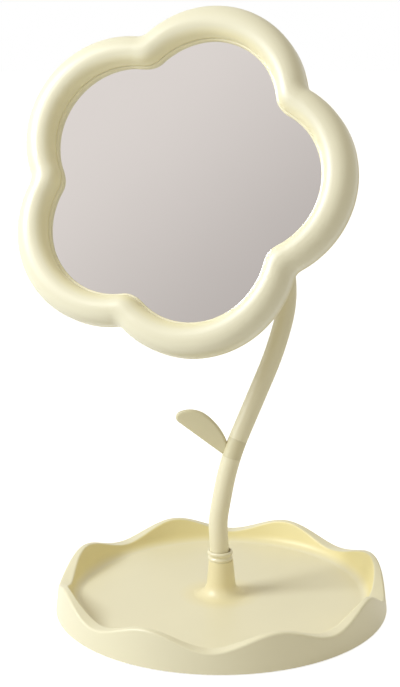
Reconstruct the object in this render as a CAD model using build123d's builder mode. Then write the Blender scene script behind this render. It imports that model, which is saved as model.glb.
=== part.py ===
from build123d import *
from math import atan2, cos, degrees, pi, radians, sin, sqrt, tan
import os

os.makedirs("parts", exist_ok=True)

# Clearances
glued_gap = 0.05
running_gap = 0.1
moving_gap = 0.2
screw_hole_gap = 0.15
loose_gap = 0.3

# Tray base: a shallow round tray whose rim rises and falls in waves
tray_radius = 85.0
tray_edge_height = 0.8
outer_wall_lean = 7.0
inner_wall_lean = 16.0
wall_at_crest = 3.4
rim_middle_height = 15.0
rim_wave_height = 3.9
rim_wave_count = 8
rim_edge_round = 1.2
tray_floor_height = 6.2
tray_floor_thickness = 2.2
tray_corner_round = 6.0
tray_skin = 2.4
outer_wall_foot = 3.6
groove_roof_height = 8.2
groove_rib_count = 16
groove_rib_thickness = 1.2

# Post: the flared pedestal that takes the stem, whose foot stands a little to its left
post_top_radius = 6.25
post_top_height = 24.7
post_lean = 5.0
post_flare_radius = 7.0
post_web_height = 9.0
post_web_thickness = 2.2
post_pocket_radius = 6.0
stem_offset = -0.8

# Underside: ledge, cover, ballast and anti-slip pad
pad_radius = 72.0
pad_thickness = 1.0
pad_edge_round = 0.3
cover_thickness = 1.4
cover_ledge_width = 1.4
ballast_radius = 58.0
ballast_hole_radius = 10.0
base_boss_radius = 4.0
base_boss_distance = 66.0
base_screw_radius = 1.3
base_screw_head_radius = 2.5
base_screw_length = 4.2
base_screw_count = 4

# Screw and washer at the stem's foot
stem_screw_radius = 2.0
stem_screw_head_radius = 3.6
stem_screw_head_height = 2.2
stem_screw_head_round = 0.7
stem_screw_length = 16.0
stem_screw_slot = 1.0
washer_radius = 4.6
washer_thickness = 0.8

# Stem: a round rod that rises, leans to the right and back, and comes forward to the ball
stem_radius = 4.85
spigot_radius = 4.0
spigot_key_depth = 0.9
spigot_key_top = 18.0
stem_foot_bends = [(stem_offset, 0, 33), (-1.8, 1.2, 45), (3.8, 7, 76.2)]
stem_back_bends = [(26.9, 18, 131), (33.6, 27, 156.2), (28.1, 37, 191), (8, 32, 209)]
bend_fill = 0.47
knob_radius = 6.5
knob_flat = 5.5
knob_behind_ball = 16.0

# Collar on the post: two beads with a groove between them, and room for the stem on its right
collar_offset = -0.4
collar_radius = 6.35
collar_bore_radius = 5.35
collar_height = 5.3
collar_groove_height = 2.5
collar_groove_width = 0.4
collar_groove_depth = 0.5
collar_groove_round = 0.45
collar_edge_round = 0.8

# Leaf: a thick blade on a clip that snaps into the stem's neck, its place measured along the stem
leaf_place = 69.6
leaf_clip_length = 10.0
leaf_clip_wall = 1.0
leaf_clip_opening = 5.6
leaf_length = 35.3
leaf_keel_drop = 5.9
leaf_belly_place = 21.9
leaf_belly_rise = 5.6
leaf_root_place = 3.0
leaf_root_drop = 1.2
leaf_tip_round = 3.0
leaf_thickness = 3.4
leaf_rise = 36.6
leaf_edge_round = 1.2

# Head: five petals drawn by tangent arcs, tilted and turned as it stands at rest
head_centre = (-18.7, -17.3, 223.6)
head_turn = 15.2
head_tilt = 23.0
head_spin = -15.3
petal_count = 5
petal_distance = 38.2
petal_radius = 48.8
petal_hollow_radius = 7.0
window_distance = 35.0
window_radius = 35.3
window_hollow_radius = 12.0

# Front frame: a rounded ring between the petals' outline and the window, with a lip over the glass
crown_height = 8.5
crown_flat = 1.2
crown_round_difference = 1.0
ring_skin = 2.2
parting_depth = 2.5
lip_reach = 0.9
lip_height = 1.6
lip_edge_round = 0.6
frame_boss_radius = 3.2

# Mirror glass, adhesive sheet and back cover
glass_thickness = 2.0
glass_front_depth = 1.0
glass_overlap = 2.0
sheet_thickness = 0.8
sheet_margin = 1.0
cover_back_depth = 8.0
cover_skin = 2.2
cover_edge_round = 4.0
tongue_height = 1.3
tongue_thickness = 1.2
cover_rib_thickness = 1.3
cover_ring_rib_radius = 24.0
cover_column_radius = 3.5

# Screws of the head
head_screw_radius = 1.3
head_screw_head_radius = 2.5
head_screw_head_height = 1.9
head_screw_length = 9.5
head_screw_recess = 2.4
socket_screw_count = 3
socket_screw_distance = 14.0
socket_screw_length = 4.2
socket_screw_head_height = 1.6
screw_head_round = 0.6

# Ball joint
ball_radius = 6.5
ball_depth = 18.5
neck_radius = 3.0
shank_radius = 2.5
shank_length = 8.0
seat_wall = 1.0
seat_opening_angle = 56.0
seat_slit_reach = 4.2
spring_wall = 0.8
spring_hole_angle = 14.0
spring_edge_angle = 82.0
spring_slit_reach = 6.0
slit_width = 1.2
flange_radius = 17.0
flange_thickness = 3.6
flange_recess = 0.5
flange_edge_round = 0.6
cup_radius = 12.0
cup_neck_length = 2.9
cup_thread_radius = 10.6
cup_rear_reach = 0.8
nut_radius = 13.2
nut_rear_reach = 6.0
nut_throat_radius = 8.2
nut_lip_start_angle = 72.0
nut_lip_end_angle = 54.0
nut_mouth_radius = 7.8
nut_edge_round = 1.5
nut_flute_count = 12
nut_flute_radius = 1.6
nut_flute_depth = 0.8

# Sizes that follow from the ones above
upright = (Align.CENTER, Align.CENTER, Align.MIN)
crest_height = rim_middle_height + rim_wave_height
tray_underfloor = tray_floor_height - tray_floor_thickness
groove_outer_radius = tray_radius - outer_wall_foot
cover_bottom = pad_thickness
cover_top = cover_bottom + cover_thickness
cover_seat_radius = groove_outer_radius + cover_ledge_width
base_screw_head_depth = base_screw_head_radius - base_screw_radius
web_bottom = post_web_height - post_web_thickness
stem_screw_seat = web_bottom - washer_thickness
stem_bottom = post_web_height + glued_gap
socket_radius = spigot_radius + glued_gap
leaf_neck_radius = stem_radius - leaf_clip_wall
hollow_height = parting_depth + crown_height - ring_skin
inner_skin_outset = lip_reach + ring_skin
tongue_outset = -ring_skin - running_gap
cover_wall_outset = tongue_outset - tongue_thickness
glass_back_depth = glass_front_depth + glass_thickness
platform_depth = glass_back_depth + sheet_thickness
cover_floor_depth = cover_back_depth - cover_skin
screw_seat_depth = cover_back_depth - head_screw_recess
flange_depth = cover_back_depth - flange_recess
petal_reach = petal_distance + petal_radius
window_reach = window_distance + window_radius
crown_width = petal_reach - window_reach - lip_reach
crown_outer_round = (crown_width - crown_flat + crown_round_difference) / 2
crown_inner_round = crown_outer_round - crown_round_difference
head_screw_distance = (petal_reach + window_reach + lip_reach) / 2
neck_length = knob_behind_ball - knob_flat
seat_inner = ball_radius + running_gap
seat_outer = seat_inner + seat_wall
spring_inner = seat_outer + moving_gap
spring_outer = spring_inner + spring_wall
cavity_radius = spring_outer + moving_gap
flange_front = flange_depth - ball_depth
flange_back = flange_front + flange_thickness
cup_shoulder = flange_back + cup_neck_length
nut_front = cup_shoulder + loose_gap
nut_step = cup_rear_reach + loose_gap
nut_bore_radius = cup_thread_radius + glued_gap


def outer_wall_radius(height):
    """Radius of the tray's outer wall at a height above the table."""
    return tray_radius - (height - tray_edge_height) * tan(radians(outer_wall_lean))


def inner_wall_radius(height):
    """Radius of the tray's inner wall at a height above the table."""
    at_crest = outer_wall_radius(crest_height) - wall_at_crest
    return at_crest - (crest_height - height) * tan(radians(inner_wall_lean))


def post_radius(height):
    """Radius of the post's straight flank at a height above the table."""
    return post_top_radius + (post_top_height - height) * tan(radians(post_lean))


def wave_curve(radius):
    """Closed curve of one radius that runs through the rim's crests and troughs."""
    points = []
    for step in range(2 * rim_wave_count):
        angle = pi * step / rim_wave_count
        height = rim_middle_height - rim_wave_height * cos(rim_wave_count * angle)
        points.append(Vector(radius * cos(angle), radius * sin(angle), height))
    return Edge.make_spline(points, periodic=True)


def bend_radii(points):
    """Radius of each bend: its arc takes a set share of the shorter run beside it."""
    radii = []
    for before, corner, after in zip(points, points[1:], points[2:]):
        run_in = Vector(*corner) - Vector(*before)
        run_out = Vector(*after) - Vector(*corner)
        half_turn = radians(run_in.get_angle(run_out)) / 2
        radii.append(bend_fill * min(run_in.length, run_out.length) / tan(half_turn))
    return radii


# Planes of the head: its normal is the way the mirror faces
head_plane = Plane(
    Location(head_centre)
    * Rotation(0, 0, -head_turn)
    * Rotation(90 - head_tilt, 0, 0)
    * Rotation(0, 0, 90 + head_spin)
)
mirror_normal = head_plane.z_dir
ball_centre = Vector(*head_centre) - mirror_normal * ball_depth
knob_centre = ball_centre - mirror_normal * knob_behind_ball
ball_section = Plane(ball_centre, x_dir=head_plane.x_dir, z_dir=head_plane.y_dir)
ball_axis = Axis(ball_centre, mirror_normal)


def head_level(depth):
    """Plane parallel to the mirror, a depth behind the middle of the ring."""
    return head_plane.offset(-depth)


def stem_level(height):
    """Level plane at a height above the table, with its origin on the axis of the stem's foot."""
    return Plane((stem_offset, 0, height))


def behind_ball(distance):
    """Plane across the ball joint's axis that looks backwards, a distance behind the ball's centre."""
    return Plane(ball_centre - mirror_normal * distance, x_dir=head_plane.x_dir, z_dir=-mirror_normal)


# Angles between petals
petal_step = 360 / petal_count
half_step = petal_step / 2


def hollow_place(distance, radius, hollow_radius):
    """Distance from the middle to the centre of an arc that touches two neighbouring petals."""
    spacing = radius + hollow_radius
    return distance * cos(radians(half_step)) + sqrt(
        spacing**2 - (distance * sin(radians(half_step))) ** 2
    )


def flower_face(depth, distance, radius, hollow_radius):
    """Flower-shaped face at a depth behind the middle of the ring: petals joined by tangent hollows."""
    hollow_distance = hollow_place(distance, radius, hollow_radius)
    join_rise = hollow_distance * sin(radians(half_step))
    join_run = hollow_distance * cos(radians(half_step)) - distance
    join_angle = degrees(atan2(join_rise, join_run))
    hollow_turn = 2 * (half_step - join_angle)
    with BuildSketch(head_level(depth)) as shape:
        with BuildLine():
            for petal in range(petal_count):
                petal_angle = petal * petal_step
                petal_middle = Vector(distance, 0).rotate(Axis.Z, petal_angle)
                hollow_middle = Vector(hollow_distance, 0).rotate(Axis.Z, petal_angle + half_step)
                CenterArc(petal_middle, radius, petal_angle - join_angle, 2 * join_angle)
                CenterArc(hollow_middle, hollow_radius, petal_angle + join_angle + 180, hollow_turn)
        make_face()
    return shape.sketch


def petal_shape(depth, outset):
    """The head's outline, moved outwards by outset."""
    return flower_face(depth, petal_distance, petal_radius + outset, petal_hollow_radius - outset)


def window_shape(depth, outset):
    """The outline of the window in front of the glass, moved outwards by outset."""
    return flower_face(depth, window_distance, window_radius + outset, window_hollow_radius - outset)


def rounded_ring(outer_shape, inner_shape, height, outer_round, inner_round):
    """Ring between two flowers whose front edges are rounded."""
    with BuildPart() as ring:
        extrude(to_extrude=outer_shape, amount=height)
        extrude(to_extrude=inner_shape, amount=height, mode=Mode.SUBTRACT)
        fillet(ring.faces().sort_by(ball_axis)[-1].outer_wire().edges(), outer_round)
        fillet(ring.faces().sort_by(ball_axis)[-1].inner_wires()[0].edges(), inner_round)
    return ring.part


# Tray base: turned shell whose top is cut by a wave
with BuildPart() as tray_base:
    with BuildSketch(Plane.XZ) as tray_profile:
        with BuildLine():
            wall_top = crest_height + rim_wave_height
            flank_foot = (post_radius(tray_floor_height), tray_floor_height)
            floor_corner = (inner_wall_radius(tray_floor_height), tray_floor_height)
            Polyline(
                (0, tray_edge_height),
                (tray_radius, tray_edge_height),
                (outer_wall_radius(wall_top), wall_top),
                (inner_wall_radius(wall_top), wall_top),
                floor_corner,
                flank_foot,
                (post_top_radius, post_top_height),
                (0, post_top_height),
                close=True,
            )
        make_face()
        fillet(tray_profile.vertices().sort_by_distance(floor_corner)[0], tray_corner_round)
        fillet(tray_profile.vertices().sort_by_distance(flank_foot)[0], post_flare_radius)
    revolve(axis=Axis.Z)

    # The rim's wave: everything above a ring of level radial lines is taken away
    inner_wave = wave_curve(inner_wall_radius(tray_floor_height) - tray_corner_round)
    outer_wave = wave_curve(tray_radius + tray_corner_round)
    wave_face = Face.make_surface_from_curves(inner_wave, outer_wave)
    extrude(to_extrude=wave_face, amount=wall_top, dir=(0, 0, 1), mode=Mode.SUBTRACT)
    long_edges = tray_base.edges().filter_by(lambda edge: edge.bounding_box().size.X > tray_radius)
    rim_edges = long_edges.filter_by(lambda edge: edge.bounding_box().size.Z > rim_wave_height)
    fillet(rim_edges, rim_edge_round)

    # The hollow underside, with a ledge for the cover and a pocket for the stem's screw
    with BuildSketch(Plane.XZ):
        with BuildLine():
            groove_inner_radius = inner_wall_radius(groove_roof_height) + tray_skin
            Polyline(
                (0, tray_edge_height),
                (cover_seat_radius, tray_edge_height),
                (cover_seat_radius, cover_top),
                (groove_outer_radius, cover_top),
                (groove_outer_radius, groove_roof_height),
                (groove_inner_radius, groove_roof_height),
                (inner_wall_radius(tray_underfloor), tray_underfloor),
                (post_pocket_radius, tray_underfloor),
                (post_pocket_radius, web_bottom),
                (0, web_bottom),
                close=True,
            )
        make_face()
    revolve(axis=Axis.Z, mode=Mode.SUBTRACT)
    with BuildSketch(Plane.XY.offset(tray_underfloor)):
        rib_inner = groove_inner_radius - tray_skin / 2
        rib_outer = groove_outer_radius + cover_ledge_width / 2
        with PolarLocations((rib_inner + rib_outer) / 2, groove_rib_count):
            Rectangle(rib_outer - rib_inner, groove_rib_thickness)
    extrude(amount=groove_roof_height - tray_underfloor)
    with BuildSketch(Plane.XY.offset(cover_top)):
        with PolarLocations(base_boss_distance, base_screw_count):
            Circle(base_boss_radius)
    extrude(amount=tray_underfloor - cover_top)
    with BuildSketch(Plane.XY.offset(cover_top)):
        with PolarLocations(base_boss_distance, base_screw_count):
            Circle(base_screw_radius + glued_gap)
    extrude(amount=base_screw_length - cover_thickness + glued_gap, mode=Mode.SUBTRACT)

    # The stem's socket: round at the mouth, keyed by a flat lower down
    with BuildSketch(stem_level(post_web_height)):
        Circle(socket_radius)
        with Locations((socket_radius - spigot_key_depth, 0)):
            Rectangle(stem_radius, 2 * stem_radius, align=(Align.MIN, Align.CENTER), mode=Mode.SUBTRACT)
    extrude(amount=spigot_key_top - post_web_height, mode=Mode.SUBTRACT)
    with BuildSketch(stem_level(spigot_key_top)):
        Circle(socket_radius)
    extrude(amount=post_top_height - spigot_key_top, mode=Mode.SUBTRACT)
    with BuildSketch(stem_level(web_bottom)):
        Circle(stem_screw_radius + screw_hole_gap)
    extrude(amount=post_web_thickness, mode=Mode.SUBTRACT)

tray_base.part.label = "tray_base"
export_step(tray_base.part, "parts/tray_base.step")

# Ballast plate: steel disc glued under the tray's floor
with BuildPart() as ballast_plate:
    with BuildSketch(Plane.XY.offset(cover_top + glued_gap)):
        Circle(ballast_radius)
        Circle(ballast_hole_radius, mode=Mode.SUBTRACT)
    extrude(amount=tray_underfloor - cover_top - glued_gap)

ballast_plate.part.label = "ballast_plate"
export_step(ballast_plate.part, "parts/ballast_plate.step")

# Base cover: disc on the ledge, with countersunk holes from below
with BuildPart() as base_cover:
    with BuildSketch(Plane.XY.offset(cover_bottom)):
        Circle(cover_seat_radius - loose_gap)
    extrude(amount=cover_thickness)
    with Locations((0, 0, cover_bottom)):
        with PolarLocations(base_boss_distance, base_screw_count):
            Cone(
                base_screw_head_radius + screw_hole_gap,
                base_screw_radius + screw_hole_gap,
                base_screw_head_depth,
                align=upright,
                mode=Mode.SUBTRACT,
            )
            Cylinder(base_screw_radius + screw_hole_gap, cover_thickness, align=upright, mode=Mode.SUBTRACT)

base_cover.part.label = "base_cover"
export_step(base_cover.part, "parts/base_cover.step")

# Four countersunk screws of the base cover
with BuildPart() as base_cover_screws:
    with Locations((0, 0, cover_bottom)):
        with PolarLocations(base_boss_distance, base_screw_count):
            Cone(base_screw_head_radius, base_screw_radius, base_screw_head_depth, align=upright)
            Cylinder(base_screw_radius, base_screw_length, align=upright)

base_cover_screws.part.label = "base_cover_screws"
export_step(base_cover_screws.part, "parts/base_cover_screws.step")

# Foot pad: anti-slip disc stuck under the cover, over the heads of its screws
with BuildPart() as foot_pad:
    with BuildSketch(Plane.XY):
        Circle(pad_radius)
    extrude(amount=pad_thickness)
    fillet(foot_pad.edges().group_by(Axis.Z)[0], pad_edge_round)

foot_pad.part.label = "foot_pad"
export_step(foot_pad.part, "parts/foot_pad.step")

# Washer and screw that pull the stem's foot onto the post's web
with BuildPart() as stem_washer:
    with BuildSketch(stem_level(stem_screw_seat)):
        Circle(washer_radius)
        Circle(stem_screw_radius + screw_hole_gap, mode=Mode.SUBTRACT)
    extrude(amount=washer_thickness)

stem_washer.part.label = "stem_washer"
export_step(stem_washer.part, "parts/stem_washer.step")

with BuildPart() as stem_screw:
    with BuildSketch(stem_level(stem_screw_seat - stem_screw_head_height)):
        Circle(stem_screw_head_radius)
    extrude(amount=stem_screw_head_height)
    fillet(stem_screw.edges().group_by(Axis.Z)[0], stem_screw_head_round)
    with BuildSketch(stem_level(stem_screw_seat - stem_screw_head_height)):
        Rectangle(stem_screw_head_radius, stem_screw_slot)
        Rectangle(stem_screw_slot, stem_screw_head_radius)
    extrude(amount=stem_screw_head_height / 2, mode=Mode.SUBTRACT)
    with BuildSketch(stem_level(stem_screw_seat)):
        Circle(stem_screw_radius)
    extrude(amount=stem_screw_length)

stem_screw.part.label = "stem_screw"
export_step(stem_screw.part, "parts/stem_screw.step")

# Stem: round rod along tangent arcs, with a keyed spigot at its foot and a knob behind the ball
stem_points = [(stem_offset, 0, stem_bottom), *stem_foot_bends, *stem_back_bends, tuple(knob_centre)]
knob_face = behind_ball(neck_length)
with BuildPart() as stem:
    with BuildLine() as stem_line:
        FilletPolyline(*stem_points, radius=bend_radii(stem_points))
    stem_route = stem_line.wire()
    with BuildSketch(stem_level(stem_bottom)):
        Circle(stem_radius)
    sweep(path=stem_route)
    with Locations(knob_centre):
        Sphere(knob_radius)
    with BuildSketch(knob_face):
        Circle(knob_radius)
    extrude(amount=-knob_radius, mode=Mode.SUBTRACT)
    with BuildSketch(knob_face):
        Circle(shank_radius + glued_gap)
    extrude(amount=shank_length + glued_gap, mode=Mode.SUBTRACT)

    # The spigot: thinner than the rod, with a flat for the key and a hole for the screw
    with BuildSketch(stem_level(stem_bottom)):
        Circle(stem_radius + loose_gap)
        Circle(spigot_radius, mode=Mode.SUBTRACT)
    extrude(amount=post_top_height - post_web_height, mode=Mode.SUBTRACT)
    with BuildSketch(stem_level(stem_bottom)):
        with Locations((spigot_radius - spigot_key_depth, 0)):
            Rectangle(stem_radius, 2 * stem_radius, align=(Align.MIN, Align.CENTER))
    extrude(amount=spigot_key_top - post_web_height, mode=Mode.SUBTRACT)
    with BuildSketch(stem_level(stem_bottom)):
        Circle(stem_screw_radius + glued_gap)
    extrude(amount=stem_screw_seat + stem_screw_length + loose_gap - stem_bottom, mode=Mode.SUBTRACT)

    # The neck that the leaf's clip snaps into
    neck_start = (leaf_place - glued_gap) / stem_route.length
    neck_end = (leaf_place + leaf_clip_length + glued_gap) / stem_route.length
    neck_route = stem_route.trim(neck_start, neck_end)
    with BuildSketch(Plane(neck_route @ 0, z_dir=neck_route % 0)):
        Circle(stem_radius + loose_gap)
        Circle(leaf_neck_radius, mode=Mode.SUBTRACT)
    sweep(path=neck_route, mode=Mode.SUBTRACT)

stem.part.label = "stem"
export_step(stem.part, "parts/stem.step")

# Collar: ring of two rounded beads on the post's mouth
with BuildPart() as stem_collar:
    with Locations((collar_offset, 0, post_top_height)):
        Cylinder(collar_radius, collar_height, align=upright)
    with Locations((collar_offset, 0, post_top_height + collar_groove_height)):
        Cylinder(collar_radius, collar_groove_width, align=upright, mode=Mode.SUBTRACT)
        Cylinder(collar_radius - collar_groove_depth, collar_groove_width, align=upright)
    bead_edges = stem_collar.edges().filter_by(GeomType.CIRCLE).group_by(SortBy.RADIUS)[-1]
    groove_edges = bead_edges.sort_by(Axis.Z)[1:3]
    fillet(groove_edges, collar_groove_round)
    fillet(stem_collar.edges().group_by(Axis.Z)[-1], collar_edge_round)
    with Locations((collar_offset, 0, post_top_height)):
        Cylinder(collar_bore_radius, collar_height, align=upright, mode=Mode.SUBTRACT)

stem_collar.part.label = "stem_collar"
export_step(stem_collar.part, "parts/stem_collar.step")

# Leaf: a thick blade that rises to the left from a clip, open at the back, round the stem's neck
clip_start = leaf_place / stem_route.length
clip_end = (leaf_place + leaf_clip_length) / stem_route.length
clip_route = stem_route.trim(clip_start, clip_end)
leaf_root = clip_route @ 0.5
blade_direction = Vector(-cos(radians(leaf_rise)), 0, sin(radians(leaf_rise)))
with BuildPart() as leaf:
    with BuildSketch(Plane(leaf_root, x_dir=blade_direction, z_dir=(0, 1, 0))) as blade:
        with BuildLine():
            belly_top = (leaf_belly_place, leaf_belly_rise)
            leaf_tip = (leaf_length, -leaf_keel_drop)
            upper_root = (leaf_root_place, -leaf_root_drop)
            lower_root = (leaf_root_place, -leaf_keel_drop)
            TangentArc(belly_top, upper_root, tangent=(-1, 0))
            TangentArc(belly_top, leaf_tip, tangent=(1, 0))
            Polyline(leaf_tip, lower_root, upper_root)
        make_face()
        fillet(blade.vertices().sort_by_distance(leaf_tip)[0], leaf_tip_round)
    extrude(amount=leaf_thickness / 2, both=True)
    blade_faces = leaf.faces().filter_by(Axis.Y)
    fillet(blade_faces.edges(), leaf_edge_round)
    with BuildSketch(Plane(clip_route @ 0, z_dir=clip_route % 0)):
        Circle(stem_radius)
    sweep(path=clip_route)
    with BuildSketch(Plane(leaf_root, x_dir=clip_route % 0.5, z_dir=(0, 1, 0))):
        Rectangle(2 * leaf_clip_length, leaf_clip_opening)
    extrude(amount=2 * stem_radius, mode=Mode.SUBTRACT)
    with BuildSketch(Plane(stem_route @ 0, z_dir=stem_route % 0)):
        Circle(leaf_neck_radius + glued_gap)
    sweep(path=stem_route, mode=Mode.SUBTRACT)

leaf.part.label = "leaf"
export_step(leaf.part, "parts/leaf.step")

# Ball stud: steel ball whose shank is pressed into the knob
with BuildPart() as ball_stud:
    with Locations(ball_centre):
        Sphere(ball_radius)
    with BuildSketch(behind_ball(0)):
        Circle(neck_radius)
    extrude(amount=neck_length)
    with BuildSketch(knob_face):
        Circle(shank_radius)
    extrude(amount=shank_length)

ball_stud.part.label = "ball_stud"
export_step(ball_stud.part, "parts/ball_stud.step")

# Ball seat: slit shell snapped over the ball, open towards the neck
with BuildPart() as ball_seat:
    with BuildSketch(ball_section):
        with BuildLine():
            outer_arc = CenterArc((0, 0), seat_outer, -90, 180 - seat_opening_angle)
            inner_arc = CenterArc((0, 0), seat_inner, -90, 180 - seat_opening_angle)
            Line(outer_arc @ 0, inner_arc @ 0)
            Line(outer_arc @ 1, inner_arc @ 1)
        make_face()
    revolve(axis=ball_axis)
    with BuildSketch(behind_ball(-seat_slit_reach)):
        Rectangle(2 * seat_outer, slit_width)
        Rectangle(slit_width, 2 * seat_outer)
    extrude(amount=seat_slit_reach + seat_outer, mode=Mode.SUBTRACT)

ball_seat.part.label = "ball_seat"
export_step(ball_seat.part, "parts/ball_seat.step")

# Spring cup: slit steel shell that presses the seat onto the ball
with BuildPart() as spring_cup:
    with BuildSketch(ball_section):
        with BuildLine():
            cup_turn = spring_edge_angle - spring_hole_angle
            outer_arc = CenterArc((0, 0), spring_outer, spring_hole_angle - 90, cup_turn)
            inner_arc = CenterArc((0, 0), spring_inner, spring_hole_angle - 90, cup_turn)
            Line(outer_arc @ 0, inner_arc @ 0)
            Line(outer_arc @ 1, inner_arc @ 1)
        make_face()
    revolve(axis=ball_axis)
    with BuildSketch(behind_ball(-spring_slit_reach)):
        Rectangle(2 * spring_outer, slit_width)
        Rectangle(slit_width, 2 * spring_outer)
    extrude(amount=spring_slit_reach, mode=Mode.SUBTRACT)

spring_cup.part.label = "spring_cup"
export_step(spring_cup.part, "parts/spring_cup.step")

# Socket cup: flanged housing of the ball joint, with a round cavity and a threaded rear end
with BuildPart() as socket_cup:
    with BuildSketch(ball_section):
        with BuildLine():
            cavity_arc = CenterArc((0, 0), cavity_radius, -90, 90)
            Polyline(
                cavity_arc @ 0,
                (0, flange_front),
                (flange_radius, flange_front),
                (flange_radius, flange_back),
                (cup_radius, flange_back),
                (cup_radius, cup_shoulder),
                (cup_thread_radius, cup_shoulder),
                (cup_thread_radius, cup_rear_reach),
                (cavity_radius, cup_rear_reach),
                cavity_arc @ 1,
            )
        make_face()
    revolve(axis=ball_axis)
    flange_edges = socket_cup.edges().filter_by(GeomType.CIRCLE).group_by(SortBy.RADIUS)[-1]
    fillet(flange_edges.sort_by(ball_axis)[0], flange_edge_round)
    with BuildSketch(behind_ball(flange_front)):
        with PolarLocations(socket_screw_distance, socket_screw_count):
            Circle(head_screw_radius + glued_gap)
    extrude(amount=cover_floor_depth + socket_screw_length + glued_gap - flange_depth, mode=Mode.SUBTRACT)

socket_cup.part.label = "socket_cup"
export_step(socket_cup.part, "parts/socket_cup.step")

# Socket nut: fluted ring whose lip holds the seat from behind
with BuildPart() as socket_nut:
    with BuildSketch(ball_section) as nut_profile:
        with BuildLine():
            lip_turn = nut_lip_start_angle - nut_lip_end_angle
            lip_arc = CenterArc((0, 0), spring_inner, 90 - nut_lip_start_angle, lip_turn)
            Polyline(
                lip_arc @ 0,
                (nut_throat_radius, nut_step),
                (nut_bore_radius, nut_step),
                (nut_bore_radius, nut_front),
                (nut_radius, nut_front),
                (nut_radius, nut_rear_reach),
                (nut_mouth_radius, nut_rear_reach),
                lip_arc @ 1,
            )
        make_face()
    revolve(axis=ball_axis)
    nut_edges = socket_nut.edges().filter_by(GeomType.CIRCLE).group_by(SortBy.RADIUS)[-1]
    fillet(nut_edges.sort_by(ball_axis)[0], nut_edge_round)
    with BuildSketch(behind_ball(nut_front)):
        with PolarLocations(nut_radius + nut_flute_radius - nut_flute_depth, nut_flute_count):
            Circle(nut_flute_radius)
    extrude(amount=nut_rear_reach - nut_front, mode=Mode.SUBTRACT)

socket_nut.part.label = "socket_nut"
export_step(socket_nut.part, "parts/socket_nut.step")

# Front frame: rounded ring, hollow at the back, with a beaded lip over the glass and five screw bosses
with BuildPart() as front_frame:
    add(
        rounded_ring(
            petal_shape(parting_depth, 0),
            window_shape(parting_depth, lip_reach),
            parting_depth + crown_height,
            crown_outer_round,
            crown_inner_round,
        )
    )
    add(
        rounded_ring(
            petal_shape(parting_depth, -ring_skin),
            window_shape(parting_depth, inner_skin_outset),
            hollow_height,
            crown_outer_round - ring_skin,
            crown_inner_round - ring_skin,
        ),
        mode=Mode.SUBTRACT,
    )
    extrude(
        to_extrude=window_shape(parting_depth, inner_skin_outset),
        amount=parting_depth - glass_front_depth,
        mode=Mode.SUBTRACT,
    )
    with BuildPart() as frame_lip:
        extrude(to_extrude=window_shape(glass_front_depth, lip_reach + ring_skin / 2), amount=lip_height)
        extrude(to_extrude=window_shape(glass_front_depth, 0), amount=lip_height, mode=Mode.SUBTRACT)
        lip_front = frame_lip.faces().sort_by(ball_axis)[-1]
        fillet(lip_front.inner_wires()[0].edges(), lip_edge_round)
    with BuildSketch(head_level(parting_depth)):
        with PolarLocations(head_screw_distance, petal_count):
            Circle(frame_boss_radius)
    extrude(amount=hollow_height + ring_skin / 2)
    with BuildSketch(head_level(parting_depth)):
        with PolarLocations(head_screw_distance, petal_count):
            Circle(head_screw_radius + glued_gap)
    extrude(amount=head_screw_length + parting_depth - screw_seat_depth + loose_gap, mode=Mode.SUBTRACT)

front_frame.part.label = "front_frame"
export_step(front_frame.part, "parts/front_frame.step")

# Mirror glass: silvered sheet behind the frame's lip
with BuildPart() as mirror_glass:
    extrude(to_extrude=window_shape(glass_front_depth, glass_overlap), amount=-glass_thickness)

mirror_glass.part.label = "mirror_glass"
export_step(mirror_glass.part, "parts/mirror_glass.step")

# Adhesive sheet between the glass and the back cover's ribs
with BuildPart() as adhesive_sheet:
    sheet_outset = glass_overlap - sheet_margin
    extrude(to_extrude=window_shape(glass_back_depth, sheet_outset), amount=-sheet_thickness)

adhesive_sheet.part.label = "adhesive_sheet"
export_step(adhesive_sheet.part, "parts/adhesive_sheet.step")

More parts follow.
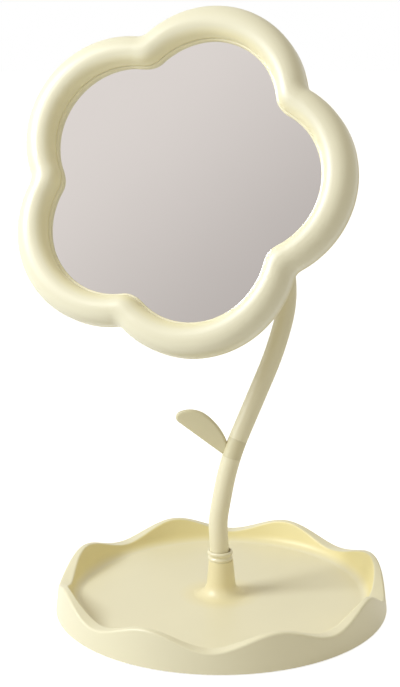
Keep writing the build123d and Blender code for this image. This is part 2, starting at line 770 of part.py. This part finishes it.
# Back cover: petal dish with a tongue inside the frame's skirt and ribs under the glass
with BuildPart() as back_cover:
    extrude(to_extrude=petal_shape(parting_depth, 0), amount=parting_depth - cover_back_depth)
    back_edges = back_cover.faces().sort_by(ball_axis)[0].edges()
    fillet(back_edges, cover_edge_round)
    tongue_top = parting_depth - tongue_height
    extrude(to_extrude=petal_shape(parting_depth, tongue_outset), amount=tongue_height)
    extrude(
        to_extrude=petal_shape(tongue_top, cover_wall_outset),
        amount=tongue_top - cover_floor_depth,
        mode=Mode.SUBTRACT,
    )

    # Ribs: one along the glass edge, one ring in the middle and ten between them
    rib_height = cover_floor_depth - platform_depth
    extrude(to_extrude=window_shape(cover_floor_depth, cover_rib_thickness / 2), amount=rib_height)
    extrude(
        to_extrude=window_shape(cover_floor_depth, -cover_rib_thickness / 2),
        amount=rib_height,
        mode=Mode.SUBTRACT,
    )
    with BuildSketch(head_level(cover_floor_depth)):
        Circle(cover_ring_rib_radius + cover_rib_thickness)
        Circle(cover_ring_rib_radius, mode=Mode.SUBTRACT)
        rib_start = cover_ring_rib_radius + cover_rib_thickness / 2
        hollow_centre = hollow_place(window_distance, window_radius, window_hollow_radius)
        hollow_rib_end = hollow_centre - window_hollow_radius
        with PolarLocations((rib_start + window_reach) / 2, petal_count):
            Rectangle(window_reach - rib_start, cover_rib_thickness)
        with PolarLocations((rib_start + hollow_rib_end) / 2, petal_count, half_step):
            Rectangle(hollow_rib_end - rib_start, cover_rib_thickness)
    extrude(amount=rib_height)

    # Screw columns, their holes and the socket's recess
    with BuildSketch(head_level(cover_floor_depth)):
        with PolarLocations(head_screw_distance, petal_count):
            Circle(cover_column_radius)
    extrude(amount=cover_floor_depth - parting_depth)
    with BuildSketch(head_level(cover_back_depth)):
        with PolarLocations(head_screw_distance, petal_count):
            Circle(head_screw_radius + screw_hole_gap)
    extrude(amount=cover_back_depth - parting_depth, mode=Mode.SUBTRACT)
    with BuildSketch(head_level(cover_back_depth)):
        with PolarLocations(head_screw_distance, petal_count):
            Circle(head_screw_head_radius + screw_hole_gap)
    extrude(amount=head_screw_recess, mode=Mode.SUBTRACT)
    with BuildSketch(head_level(cover_back_depth)):
        Circle(flange_radius + moving_gap)
    extrude(amount=flange_recess, mode=Mode.SUBTRACT)
    with BuildSketch(head_level(cover_back_depth)):
        with PolarLocations(socket_screw_distance, socket_screw_count):
            Circle(head_screw_radius + screw_hole_gap)
    extrude(amount=cover_skin, mode=Mode.SUBTRACT)

back_cover.part.label = "back_cover"
export_step(back_cover.part, "parts/back_cover.step")

# Five screws from the back through the cover into the frame
with BuildPart() as head_screws:
    with BuildSketch(head_level(screw_seat_depth)):
        with PolarLocations(head_screw_distance, petal_count):
            Circle(head_screw_head_radius)
    extrude(amount=-head_screw_head_height)
    back_ends = head_screws.edges().group_by(ball_axis)[0]
    fillet(back_ends, screw_head_round)
    with BuildSketch(head_level(screw_seat_depth)):
        with PolarLocations(head_screw_distance, petal_count):
            Circle(head_screw_radius)
    extrude(amount=head_screw_length)

head_screws.part.label = "head_screws"
export_step(head_screws.part, "parts/head_screws.step")

# Three screws from inside the cover into the socket cup's flange
with BuildPart() as socket_screws:
    with BuildSketch(head_level(cover_floor_depth)):
        with PolarLocations(socket_screw_distance, socket_screw_count):
            Circle(head_screw_head_radius)
    extrude(amount=socket_screw_head_height)
    front_ends = socket_screws.edges().group_by(ball_axis)[-1]
    fillet(front_ends, screw_head_round)
    with BuildSketch(head_level(cover_floor_depth)):
        with PolarLocations(socket_screw_distance, socket_screw_count):
            Circle(head_screw_radius)
    extrude(amount=-socket_screw_length)

socket_screws.part.label = "socket_screws"
export_step(socket_screws.part, "parts/socket_screws.step")
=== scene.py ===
from math import pi, radians

import bmesh
import bpy
from mathutils import Matrix, Quaternion, Vector


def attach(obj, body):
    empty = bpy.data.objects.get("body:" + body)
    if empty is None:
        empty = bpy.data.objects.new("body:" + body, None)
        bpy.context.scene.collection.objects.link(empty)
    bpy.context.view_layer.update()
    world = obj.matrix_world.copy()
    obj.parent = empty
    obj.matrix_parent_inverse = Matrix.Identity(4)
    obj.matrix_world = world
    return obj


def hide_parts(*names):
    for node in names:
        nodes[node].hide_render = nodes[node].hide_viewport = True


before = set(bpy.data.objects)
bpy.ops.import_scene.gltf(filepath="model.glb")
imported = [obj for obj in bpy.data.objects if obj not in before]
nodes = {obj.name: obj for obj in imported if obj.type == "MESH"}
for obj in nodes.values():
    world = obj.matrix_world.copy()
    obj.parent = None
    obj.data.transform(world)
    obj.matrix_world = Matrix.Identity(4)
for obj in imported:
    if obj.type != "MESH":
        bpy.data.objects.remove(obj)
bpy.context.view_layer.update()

# Camera: a long lens about 0.8 m away, a little to the right of the tray's middle and
# looking down on it by 14 degrees. It is off level by a fraction of a degree.
camera_place = Vector((0.05297, -0.80817, 0.34619))
camera_forward = Vector((-0.0753, 0.9659, -0.2476))
camera_up = Vector((-0.0122, 0.2474, 0.9688))
image_height = 687
focal_length_px = 1684.2
sensor_height = 36.0


def put_in_scene(name, data):
    """Put a new object in the scene."""
    thing = bpy.data.objects.new(name, data)
    bpy.context.scene.collection.objects.link(thing)
    return thing


camera_data = bpy.data.cameras.new("camera")
camera_data.sensor_fit = "VERTICAL"
camera_data.sensor_height = sensor_height
camera_data.lens = focal_length_px * sensor_height / image_height
camera = put_in_scene("camera", camera_data)
camera_right = camera_forward.cross(camera_up).normalized()
camera_true_up = camera_right.cross(camera_forward).normalized()
camera_turn = Matrix((camera_right, camera_true_up, -camera_forward.normalized())).transposed()
camera.matrix_world = Matrix.Translation(camera_place) @ camera_turn.to_4x4()
bpy.context.scene.camera = camera
bpy.context.scene.view_settings.view_transform = "Standard"

# Studio: white paper all round, under a light grey ceiling that only reflections show. Its
# light is soft and warm, and stronger from above than from the sides.
ceiling_start = 0.15
ceiling_full = 0.50
ceiling_white = 0.76
light_above = 0.62
light_around = 0.37
room_colour = (1.0, 0.94, 0.74)


def larger(tree, first, second):
    """The larger of two values."""
    choice = tree.nodes.new("ShaderNodeMath")
    choice.operation = "MAXIMUM"
    tree.links.new(first, choice.inputs[0])
    tree.links.new(second, choice.inputs[1])
    return choice.outputs[0]


def ranged(tree, value, low, high, start=0.0, full=1.0):
    """Go from low to high while the value goes from start to full."""
    scale = tree.nodes.new("ShaderNodeMapRange")
    scale.inputs["From Min"].default_value = start
    scale.inputs["From Max"].default_value = full
    scale.inputs["To Min"].default_value = low
    scale.inputs["To Max"].default_value = high
    tree.links.new(value, scale.inputs["Value"])
    return scale.outputs["Result"]


def looked_at(tree):
    """A value that is 1 where the eye, a reflection or clear glass sees the surface."""
    rays = tree.nodes.new("ShaderNodeLightPath")
    seen = larger(tree, rays.outputs["Is Camera Ray"], rays.outputs["Is Glossy Ray"])
    return larger(tree, seen, rays.outputs["Is Transmission Ray"])


world = bpy.data.worlds.new("studio")
bpy.context.scene.world = world
world.use_nodes = True
tree = world.node_tree
tree.nodes.clear()
direction = tree.nodes.new("ShaderNodeTexCoord")
height = tree.nodes.new("ShaderNodeSeparateXYZ")
tree.links.new(direction.outputs["Generated"], height.inputs[0])
room = tree.nodes.new("ShaderNodeBackground")
room.inputs["Color"].default_value = (*room_colour, 1)
room_light = ranged(tree, height.outputs["Z"], light_around, light_above)
tree.links.new(room_light, room.inputs["Strength"])
rays = tree.nodes.new("ShaderNodeLightPath")
ceiling = ranged(tree, height.outputs["Z"], 1.0, ceiling_white, ceiling_start, ceiling_full)
paper = tree.nodes.new("ShaderNodeBackground")
paper.inputs["Color"].default_value = (1, 1, 1, 1)
plain_behind = larger(tree, ceiling, rays.outputs["Is Camera Ray"])
tree.links.new(plain_behind, paper.inputs["Strength"])
choose = tree.nodes.new("ShaderNodeMixShader")
tree.links.new(looked_at(tree), choose.inputs[0])
tree.links.new(room.outputs[0], choose.inputs[1])
tree.links.new(paper.outputs[0], choose.inputs[2])
world_output = tree.nodes.new("ShaderNodeOutputWorld")
tree.links.new(choose.outputs[0], world_output.inputs[0])

# Table: a sheet of white paper under the tray. It glows just enough to be plain white where
# nothing shades it, and keeps the tray's soft shadow.
floor_half_width = 3.0
floor_shade = 0.65
floor_glow = 0.80
corner_signs = ((-1, -1), (1, -1), (1, 1), (-1, 1))


def square_sheet(name, half_width):
    """A flat square round its own middle."""
    sheet = bpy.data.meshes.new(name)
    corners = [(half_width * x, half_width * y, 0) for x, y in corner_signs]
    sheet.from_pydata(corners, [], [(0, 1, 2, 3)])
    return sheet


floor_mesh = square_sheet("floor", floor_half_width)
floor = put_in_scene("floor", floor_mesh)
floor_paint = bpy.data.materials.new("floor_paper")
floor_paint.use_nodes = True
tree = floor_paint.node_tree
tree.nodes.clear()
matt = tree.nodes.new("ShaderNodeBsdfDiffuse")
matt.inputs["Color"].default_value = (floor_shade, floor_shade, floor_shade, 1)
glow = tree.nodes.new("ShaderNodeEmission")
glow.inputs["Strength"].default_value = floor_glow
dark = tree.nodes.new("ShaderNodeEmission")
dark.inputs["Strength"].default_value = 0.0
glow_where_seen = tree.nodes.new("ShaderNodeMixShader")
tree.links.new(looked_at(tree), glow_where_seen.inputs[0])
tree.links.new(dark.outputs[0], glow_where_seen.inputs[1])
tree.links.new(glow.outputs[0], glow_where_seen.inputs[2])
together = tree.nodes.new("ShaderNodeAddShader")
tree.links.new(matt.outputs[0], together.inputs[0])
tree.links.new(glow_where_seen.outputs[0], together.inputs[1])
floor_output = tree.nodes.new("ShaderNodeOutputMaterial")
tree.links.new(together.outputs[0], floor_output.inputs[0])
floor_mesh.materials.append(floor_paint)

# Lamp: one soft box on the left, high and a little in front, which lays the stem's shadow
# across the tray to the right.
key_way = Vector((-0.79, -0.28, 0.55))
key_distance = 1.0
key_size = 0.40
key_power = 7.5
key_colour = (0.91, 0.965, 1.0)
lamp_aim = Vector((0, 0, 0.14))

key_lamp = bpy.data.lights.new("key_light", "AREA")
key_lamp.size = key_size
key_lamp.energy = key_power
key_lamp.color = key_colour
key_light = put_in_scene("key_light", key_lamp)
key_light.location = lamp_aim + key_way.normalized() * key_distance
key_light.rotation_euler = key_way.to_track_quat("Z", "Y").to_euler()

# Ceiling: a large grey card up on the left that the mirror shows, aslant and darker towards
# one side. Only reflections see it.
head_middle = Vector((-0.0187, -0.0173, 0.2236))
card_way = Vector((-0.530, -0.637, 0.560)).normalized()
card_distance = 1.6
card_half_width = 1.0
card_twist = radians(32)
card_dark = (0.535, 0.490, 0.470)
card_bright = (0.805, 0.746, 0.718)
card_fade_start = 0.36
card_fade_end = 0.58


def blended(tree, value, first_colour, last_colour, start=0.0, end=1.0, blend="LINEAR"):
    """Go from one colour to another while the value goes from start to end."""
    ramp = tree.nodes.new("ShaderNodeValToRGB")
    ramp.color_ramp.interpolation = blend
    first, last = ramp.color_ramp.elements
    first.position = start
    first.color = (*first_colour, 1)
    last.position = end
    last.color = (*last_colour, 1)
    tree.links.new(value, ramp.inputs["Fac"])
    return ramp.outputs["Color"]


card_mesh = square_sheet("ceiling_card", card_half_width)
card = put_in_scene("ceiling_card", card_mesh)
card.location = head_middle + card_way * card_distance
card_facing = (-card_way).to_track_quat("Z", "Y") @ Quaternion((0, 0, 1), card_twist)
card.rotation_euler = card_facing.to_euler()
card.visible_camera = False
card.visible_diffuse = False
card.visible_shadow = False
card_paint = bpy.data.materials.new("ceiling_card")
card_paint.use_nodes = True
tree = card_paint.node_tree
tree.nodes.clear()
place = tree.nodes.new("ShaderNodeTexCoord")
across = tree.nodes.new("ShaderNodeSeparateXYZ")
tree.links.new(place.outputs["Generated"], across.inputs[0])
fade = blended(
    tree, across.outputs["X"], card_dark, card_bright, card_fade_start, card_fade_end, "EASE"
)
shine = tree.nodes.new("ShaderNodeEmission")
tree.links.new(fade, shine.inputs["Color"])
card_output = tree.nodes.new("ShaderNodeOutputMaterial")
tree.links.new(shine.outputs[0], card_output.inputs[0])
card_mesh.materials.append(card_paint)

# Tray base: one cream moulding with a wavy rim and a flared post, satin from a finely
# spark-eroded mould. The inner wall and the post are painted a little warmer and deeper:
# painted bounce light in their shade, as cream surfaces light one another.
cream = (0.865, 0.803, 0.590)
plastic_ior = 1.55
plastic_shine = 0.8
flow_scale = 14.0
flow_detail = 3.0
flow_change = 0.02
flow_low = 0.3
flow_high = 0.7
gloss_change = 0.05
swell_scale = 160.0
swell_strength = 0.3
swell_depth = 0.00004
grain_scale = 2400.0
grain_strength = 0.35
grain_depth = 0.00002
facing_start = -0.30
facing_full = -0.85
wall_painted_bounce = (1.0, 0.945, 0.66)
post_painted_bounce = (1.0, 0.965, 0.83)
post_bounce_from = 0.022
post_bounce_full = 0.012


def new_paint(name):
    """A new paint, with its node tree and its surface."""
    paint = bpy.data.materials.new(name)
    paint.use_nodes = True
    return paint, paint.node_tree, paint.node_tree.nodes["Principled BSDF"]


def spots(tree, scale, detail=2.0):
    """Soft random spots, finer at a larger scale, that stay on the piece as it moves."""
    place = tree.nodes.new("ShaderNodeTexCoord")
    noise = tree.nodes.new("ShaderNodeTexNoise")
    noise.inputs["Scale"].default_value = scale
    noise.inputs["Detail"].default_value = detail
    tree.links.new(place.outputs["Object"], noise.inputs["Vector"])
    return noise.outputs["Fac"]


def shaded(colour, factor):
    """A colour made darker or brighter."""
    return [min(1, channel * factor) for channel in colour]


def relief(tree, height, strength, depth):
    """Raise the surface by the height of the spots."""
    bump = tree.nodes.new("ShaderNodeBump")
    bump.inputs["Strength"].default_value = strength
    bump.inputs["Distance"].default_value = depth
    tree.links.new(height, bump.inputs["Height"])
    return bump


def moulded_plastic(name, colour, roughness, grain=1.0):
    """Moulded plastic: a faint drift of colour, uneven gloss, slight swells and a fine grain."""
    paint, tree, skin = new_paint(name)
    skin.inputs["IOR"].default_value = plastic_ior
    skin.inputs["Specular IOR Level"].default_value = plastic_shine
    flow = spots(tree, flow_scale, flow_detail)
    darker = shaded(colour, 1 - flow_change)
    brighter = shaded(colour, 1 + flow_change)
    tints = blended(tree, flow, darker, brighter, flow_low, flow_high)
    tree.links.new(tints, skin.inputs["Base Color"])
    gloss = ranged(tree, flow, roughness - gloss_change, roughness + gloss_change)
    tree.links.new(gloss, skin.inputs["Roughness"])
    swells = relief(tree, spots(tree, swell_scale), swell_strength, swell_depth)
    pits = relief(tree, spots(tree, grain_scale), grain_strength * grain, grain_depth)
    tree.links.new(swells.outputs["Normal"], pits.inputs["Normal"])
    tree.links.new(pits.outputs["Normal"], skin.inputs["Normal"])
    return paint


def finish(name, paint):
    """Give a CAD node its finish."""
    node = nodes[name]
    node.data.materials.clear()
    node.data.materials.append(paint)


def vector_step(tree, operation, vector, other=None):
    """One step of reckoning with a vector and, in some steps, another fixed one."""
    step = tree.nodes.new("ShaderNodeVectorMath")
    step.operation = operation
    tree.links.new(vector, step.inputs[0])
    if other is not None:
        step.inputs[1].default_value = other
    return step


def facing_middle(paint, middle, across):
    """A mask that is 1 on the sides that face the middle, of which only some axes may count."""
    tree = paint.node_tree
    place = tree.nodes.new("ShaderNodeTexCoord")
    from_middle = vector_step(tree, "SUBTRACT", place.outputs["Object"], middle)
    counted = vector_step(tree, "MULTIPLY", from_middle.outputs["Vector"], across)
    outwards = vector_step(tree, "NORMALIZE", counted.outputs["Vector"])
    facing_out = vector_step(tree, "DOT_PRODUCT", outwards.outputs["Vector"])
    tree.links.new(place.outputs["Normal"], facing_out.inputs[1])
    return ranged(tree, facing_out.outputs["Value"], 0.0, 1.0, facing_start, facing_full)


def near_axis(paint, start, full):
    """A mask that rises from 0 to 1 between two distances from the upright axis."""
    tree = paint.node_tree
    place = tree.nodes.new("ShaderNodeTexCoord")
    level = vector_step(tree, "MULTIPLY", place.outputs["Object"], (1, 1, 0))
    reach = vector_step(tree, "LENGTH", level.outputs["Vector"])
    return ranged(tree, reach.outputs["Value"], 0.0, 1.0, start, full)


def paint_bounce_light(paint, mask, tint):
    """Paint bounce light: multiply the paint's colour by a warm tint where the mask is 1."""
    tree = paint.node_tree
    skin = tree.nodes["Principled BSDF"]
    warm = tree.nodes.new("ShaderNodeMix")
    warm.data_type = "RGBA"
    warm.blend_type = "MULTIPLY"
    warm.inputs["B"].default_value = (*tint, 1)
    tree.links.new(mask, warm.inputs["Factor"])
    tree.links.new(skin.inputs["Base Color"].links[0].from_socket, warm.inputs["A"])
    tree.links.new(warm.outputs["Result"], skin.inputs["Base Color"])


tray_cream = moulded_plastic("tray_cream", cream, roughness=0.44)
# Painted bounce light: a warmer, deeper tint on the inner wall and on the post.
paint_bounce_light(tray_cream, facing_middle(tray_cream, (0, 0, 0), (1, 1, 0)), wall_painted_bounce)
paint_bounce_light(tray_cream, near_axis(tray_cream, post_bounce_from, post_bounce_full), post_painted_bounce)
finish("tray_base", tray_cream)

# Ballast: a disc of rolled steel glued under the tray's floor, out of sight. The cover and
# the stem are held by zinc-plated steel screws, with a washer under the stem's.
zinc_grey = (0.62, 0.63, 0.65)
rolled_grey = (0.30, 0.30, 0.31)
mark_detail = 5.0
mark_dark = 0.88
mark_bright = 1.08
mark_gloss_low = 0.8
mark_gloss_high = 1.3
mark_strength = 0.2
mark_depth = 0.00001


def worked_steel(name, colour, roughness, mark_scale):
    """Metal with fine uneven marks in its colour, gloss and relief."""
    paint, tree, skin = new_paint(name)
    skin.inputs["Metallic"].default_value = 1.0
    marks = spots(tree, mark_scale, mark_detail)
    tints = blended(tree, marks, shaded(colour, mark_dark), shaded(colour, mark_bright))
    tree.links.new(tints, skin.inputs["Base Color"])
    gloss = ranged(tree, marks, roughness * mark_gloss_low, roughness * mark_gloss_high)
    tree.links.new(gloss, skin.inputs["Roughness"])
    bump = relief(tree, marks, mark_strength, mark_depth)
    tree.links.new(bump.outputs["Normal"], skin.inputs["Normal"])
    return paint


zinc = worked_steel("zinc_plate", zinc_grey, roughness=0.32, mark_scale=900.0)
rolled_plate = worked_steel("rolled_plate", rolled_grey, roughness=0.5, mark_scale=150.0)
finish("ballast_plate", rolled_plate)
for name in ("base_cover_screws", "stem_screw", "stem_washer"):
    finish(name, zinc)

# Underside: a moulded cover in the tray's ledge, and a disc of anti-slip rubber stuck over
# it and its screws.
under_cream = (0.82, 0.755, 0.535)
pad_colour = (0.47, 0.44, 0.35)
finish("base_cover", moulded_plastic("under_cream", under_cream, roughness=0.6, grain=1.6))
finish("foot_pad", moulded_plastic("pad_rubber", pad_colour, roughness=0.8, grain=3.0))

# Stem: an S-shaped rod moulded in one piece and pushed into the post. The leaf, a moulding
# painted a slightly deeper cream than the stem, clips into a neck in the rod.
leaf_cream = (0.745, 0.682, 0.465)
finish("stem", moulded_plastic("stem_cream", cream, roughness=0.42))
finish("leaf", moulded_plastic("leaf_cream", leaf_cream, roughness=0.48))

# Collar: a moulded ring pressed on the post's mouth, round the stem. It has a thick bead
# over a thinner one, with a round groove between them.
collar_middle = Vector((-0.0004, 0, 0.0247))
collar_sides = 72
collar_crease = radians(50)
same_point = 0.000001
collar_profile = [
    (0.00535, 0.00000),
    (0.00600, 0.00000),
    (0.00600, 0.00035),
    (0.00620, 0.00055),
    (0.00635, 0.00085),
    (0.00640, 0.00125),
    (0.00633, 0.00165),
    (0.00612, 0.00195),
    (0.00580, 0.00220),
    (0.00568, 0.00255),
    (0.00575, 0.00290),
    (0.00600, 0.00315),
    (0.00625, 0.00340),
    (0.00642, 0.00380),
    (0.00646, 0.00425),
    (0.00638, 0.00470),
    (0.00615, 0.00508),
    (0.00585, 0.00528),
    (0.00555, 0.00530),
    (0.00538, 0.00518),
    (0.00535, 0.00495),
]


def turned(name, profile, sides, closed):
    """Turn an outline of radii and heights, closed or open, round the upright axis."""
    mesh = bmesh.new()
    line = [mesh.verts.new((radius, 0, height)) for radius, height in profile]
    first = 0 if closed else 1
    edges = [mesh.edges.new((line[step - 1], line[step])) for step in range(first, len(line))]
    bmesh.ops.spin(
        mesh,
        geom=line + edges,
        axis=(0, 0, 1),
        cent=(0, 0, 0),
        angle=2 * pi,
        steps=sides,
    )
    bmesh.ops.remove_doubles(mesh, verts=mesh.verts, dist=same_point)
    bmesh.ops.recalc_face_normals(mesh, faces=mesh.faces)
    body = bpy.data.meshes.new(name)
    mesh.to_mesh(body)
    mesh.free()
    return body


def smooth_to(mesh, crease):
    """Shade the mesh smooth and keep the edges sharper than the crease."""
    mesh.polygons.foreach_set("use_smooth", [True] * len(mesh.polygons))
    mesh.set_sharp_from_angle(angle=crease)


collar_mesh = turned("collar_ring", collar_profile, collar_sides, closed=True)
collar_mesh.transform(Matrix.Translation(collar_middle))
smooth_to(collar_mesh, collar_crease)
collar_mesh.materials.append(moulded_plastic("collar_cream", cream, roughness=0.38))
collar_ring = put_in_scene("collar_ring", collar_mesh)
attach(collar_ring, "base")
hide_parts("stem_collar")

# Ball joint: a bright turned steel ball on a pressed-in shank, a white nylon seat snapped
# over it, a slit spring-steel cup, and a moulded socket with a fluted nut.
socket_cream = (0.855, 0.790, 0.565)
ball_grey = (0.72, 0.72, 0.72)
nylon_white = (0.78, 0.78, 0.74)
spring_grey = (0.55, 0.55, 0.56)
bright_ball = worked_steel("bright_ball", ball_grey, roughness=0.14, mark_scale=400.0)
spring_steel = worked_steel("spring_steel", spring_grey, roughness=0.3, mark_scale=600.0)
finish("ball_stud", bright_ball)
finish("ball_seat", moulded_plastic("nylon", nylon_white, roughness=0.38, grain=0.4))
finish("spring_cup", spring_steel)
finish("socket_cup", moulded_plastic("socket_cream", socket_cream, roughness=0.5, grain=1.4))
finish("socket_nut", moulded_plastic("nut_cream", socket_cream, roughness=0.5, grain=1.4))
finish("socket_screws", zinc)

# Petal frame and back cover: a rounded ring, smooth enough to show the soft box along its
# crown, and a matt dish with a coarser grain that closes it from behind.
# The ring's cream is paler than the tray's, towards the near-white of its lit crown: a painted
# highlight over the whole ring.
pale_highlight_cream = (0.868, 0.818, 0.630)
# Painted shade and bounce light: the ring's inner flank, which faces the middle, is painted
# warmer.
frame_painted_bounce = (0.97, 0.93, 0.74)
frame_cream = moulded_plastic("frame_cream", pale_highlight_cream, roughness=0.40, grain=0.5)
paint_bounce_light(frame_cream, facing_middle(frame_cream, head_middle, (1, 1, 1)), frame_painted_bounce)
finish("front_frame", frame_cream)
finish("back_cover", moulded_plastic("back_cream", socket_cream, roughness=0.55, grain=1.6))

# Mirror: float glass of 2 mm, cut to the flower, silvered and stuck to the back cover with a
# foam sheet. Its gloss is faintly uneven, as when wiped.
silver_dark = (0.870, 0.875, 0.868)
silver_bright = (0.890, 0.893, 0.887)
wipe_scale = 25.0
wipe_detail = 4.0
haze_low = 0.01
haze_high = 0.04
ripple_scale = 18.0
ripple_strength = 0.05
ripple_depth = 0.00001
foam_white = (0.74, 0.74, 0.72)

silver_paint, tree, skin = new_paint("silvered_glass")
skin.inputs["Metallic"].default_value = 1.0
wipe = spots(tree, wipe_scale, wipe_detail)
tree.links.new(blended(tree, wipe, silver_dark, silver_bright), skin.inputs["Base Color"])
tree.links.new(ranged(tree, wipe, haze_low, haze_high), skin.inputs["Roughness"])
ripple = relief(tree, spots(tree, ripple_scale), ripple_strength, ripple_depth)
tree.links.new(ripple.outputs["Normal"], skin.inputs["Normal"])
finish("mirror_glass", silver_paint)
finish("adhesive_sheet", moulded_plastic("foam_tape", foam_white, roughness=0.85, grain=3.0))

# Head screws: five zinc-plated pan heads with a cross recess, sunk in the back cover. Each
# was driven home until it was tight, so their crosses stand at different angles.
head_turn = radians(-15.2)
head_tilt = radians(90 - 23.0)
head_spin = radians(90 - 15.3)
petal_count = 5
screw_profile = [
    (0.0, 0.00190),
    (0.0012, 0.00186),
    (0.0019, 0.00166),
    (0.0023, 0.00128),
    (0.0025, 0.00070),
    (0.0025, 0.0),
    (0.0013, 0.0),
    (0.0013, -0.0088),
    (0.0009, -0.0095),
    (0.0, -0.0095),
]
screw_sides = 40
screw_crease = radians(32)
screw_distance = 0.0791
screw_seat = -0.0056
screw_stops = (12, 48, 71, 30, 84)
# The recess narrows downwards: each row is its half length, half width and height.
recess_top = (0.00140, 0.00042, 0.0021)
recess_floor = (0.00075, 0.00028, 0.0009)

screw_blank = put_in_scene(
    "screw_blank", turned("screw_blank", screw_profile, screw_sides, closed=False)
)
punches = []
for turn in (0, pi / 2):
    mesh = bmesh.new()
    top, low = (
        [mesh.verts.new((half_length * x, half_width * y, height)) for x, y in corner_signs]
        for half_length, half_width, height in (recess_top, recess_floor)
    )
    mesh.faces.new(top)
    mesh.faces.new(list(reversed(low)))
    for side in range(4):
        after = (side + 1) % 4
        mesh.faces.new((top[side], low[side], low[after], top[after]))
    bmesh.ops.recalc_face_normals(mesh, faces=mesh.faces)
    bmesh.ops.rotate(mesh, verts=mesh.verts, matrix=Matrix.Rotation(turn, 3, "Z"))
    punch_mesh = bpy.data.meshes.new("punch")
    mesh.to_mesh(punch_mesh)
    mesh.free()
    punch = put_in_scene("punch", punch_mesh)
    punches.append(punch)
    stamp = screw_blank.modifiers.new("cross", "BOOLEAN")
    stamp.operation = "DIFFERENCE"
    stamp.solver = "EXACT"
    stamp.object = punch
bpy.context.view_layer.update()
pressed = screw_blank.evaluated_get(bpy.context.evaluated_depsgraph_get())
stamped = bpy.data.meshes.new_from_object(pressed)

mesh = bmesh.new()
for petal, stop in enumerate(screw_stops):
    one = bmesh.new()
    one.from_mesh(stamped)
    petal_turn = Matrix.Rotation(2 * pi * petal / petal_count, 4, "Z")
    seat = petal_turn @ Matrix.Translation((screw_distance, 0, screw_seat))
    facing_back = Matrix.Rotation(pi, 4, "X") @ Matrix.Rotation(radians(stop), 4, "Z")
    bmesh.ops.transform(one, verts=one.verts, matrix=seat @ facing_back)
    placed = bpy.data.meshes.new("placed_screw")
    one.to_mesh(placed)
    one.free()
    mesh.from_mesh(placed)
    bpy.data.meshes.remove(placed)
screws_mesh = bpy.data.meshes.new("head_screw_set")
mesh.to_mesh(screws_mesh)
mesh.free()
head_place = (
    Matrix.Translation(head_middle)
    @ Matrix.Rotation(head_turn, 4, "Z")
    @ Matrix.Rotation(head_tilt, 4, "X")
    @ Matrix.Rotation(head_spin, 4, "Z")
)
screws_mesh.transform(head_place)
smooth_to(screws_mesh, screw_crease)
screws_mesh.materials.clear()
screws_mesh.materials.append(zinc)
for spent in (screw_blank, *punches):
    bpy.data.objects.remove(spent)
head_screw_set = put_in_scene("head_screw_set", screws_mesh)
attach(head_screw_set, "head")
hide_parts("head_screws")
